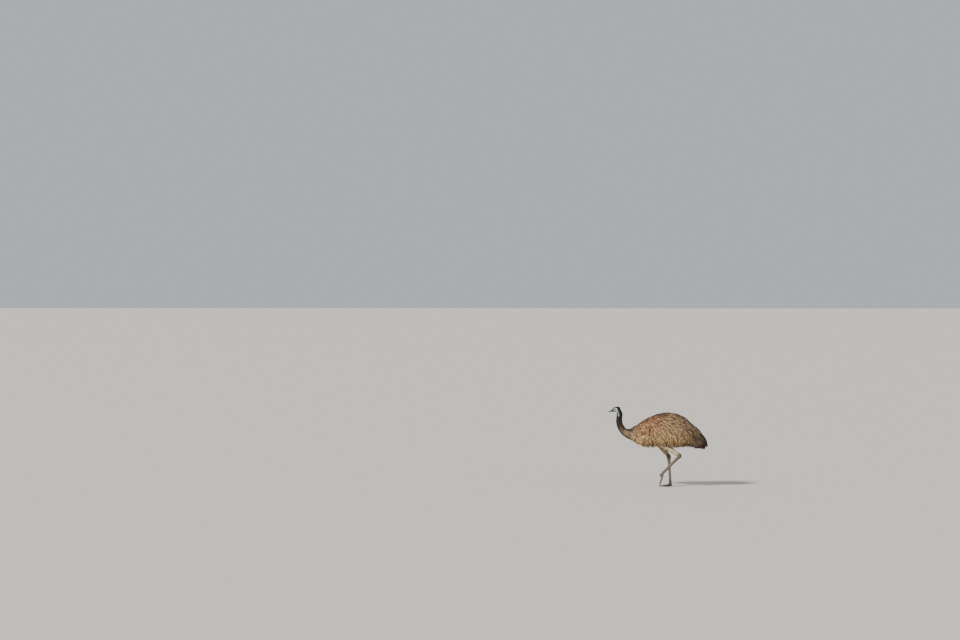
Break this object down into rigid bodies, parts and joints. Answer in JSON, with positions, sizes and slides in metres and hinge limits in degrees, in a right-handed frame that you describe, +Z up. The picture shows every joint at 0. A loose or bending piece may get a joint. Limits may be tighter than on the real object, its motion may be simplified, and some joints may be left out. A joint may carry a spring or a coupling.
{
  "type": "emu",
  "caption": "Life-size walking emu with an arched neck, shaggy drooping plumage and long scaly legs, as a still museum model.",
  "frame": {"origin": "middle of the bird's bounding box, on the floor", "axes": "+X from the bill to the tail, so the bird faces -X; +Y to the bird's right; +Z up"},
  "size_m": [1.3854, 0.4618, 1.1084],
  "materials": {
    "plumage": "loose, shaggy brown feathers with buff and dark tips",
    "wing_plumage": "dark, hair-like feathers",
    "neck_plumage": "short grey-brown feathers, dark along the nape",
    "neck_skin": "bare pale blue skin under sparse black feathers",
    "head_plumage": "short black hair-like feathers",
    "bill": "dark satin horn",
    "eye": "wet, reddish brown",
    "drumstick": "pale buff down",
    "scales": "grey-brown scaly skin",
    "claws": "dark horn"
  },
  "bodies": {
    "root": {"torso": "plumage", "tail": "plumage", "neck_lower": "neck_plumage", "neck_upper": "neck_skin", "head": "head_plumage", "bill_upper": "bill", "bill_lower": "bill", "eye_left": "eye", "ear_left": "neck_skin", "wing_left": "wing_plumage", "drumstick_left": "drumstick", "shank_left": "scales", "foot_left": "scales", "toe_inner_left": "scales", "claw_inner_left": "claws", "toe_middle_left": "scales", "claw_middle_left": "claws", "toe_outer_left": "scales", "claw_outer_left": "claws", "eye_right": "eye", "ear_right": "neck_skin", "wing_right": "wing_plumage", "drumstick_right": "drumstick", "shank_right": "scales", "foot_right": "scales", "toe_inner_right": "scales", "claw_inner_right": "claws", "toe_middle_right": "scales", "claw_middle_right": "claws", "toe_outer_right": "scales", "claw_outer_right": "claws"}
  },
  "joints": []
}
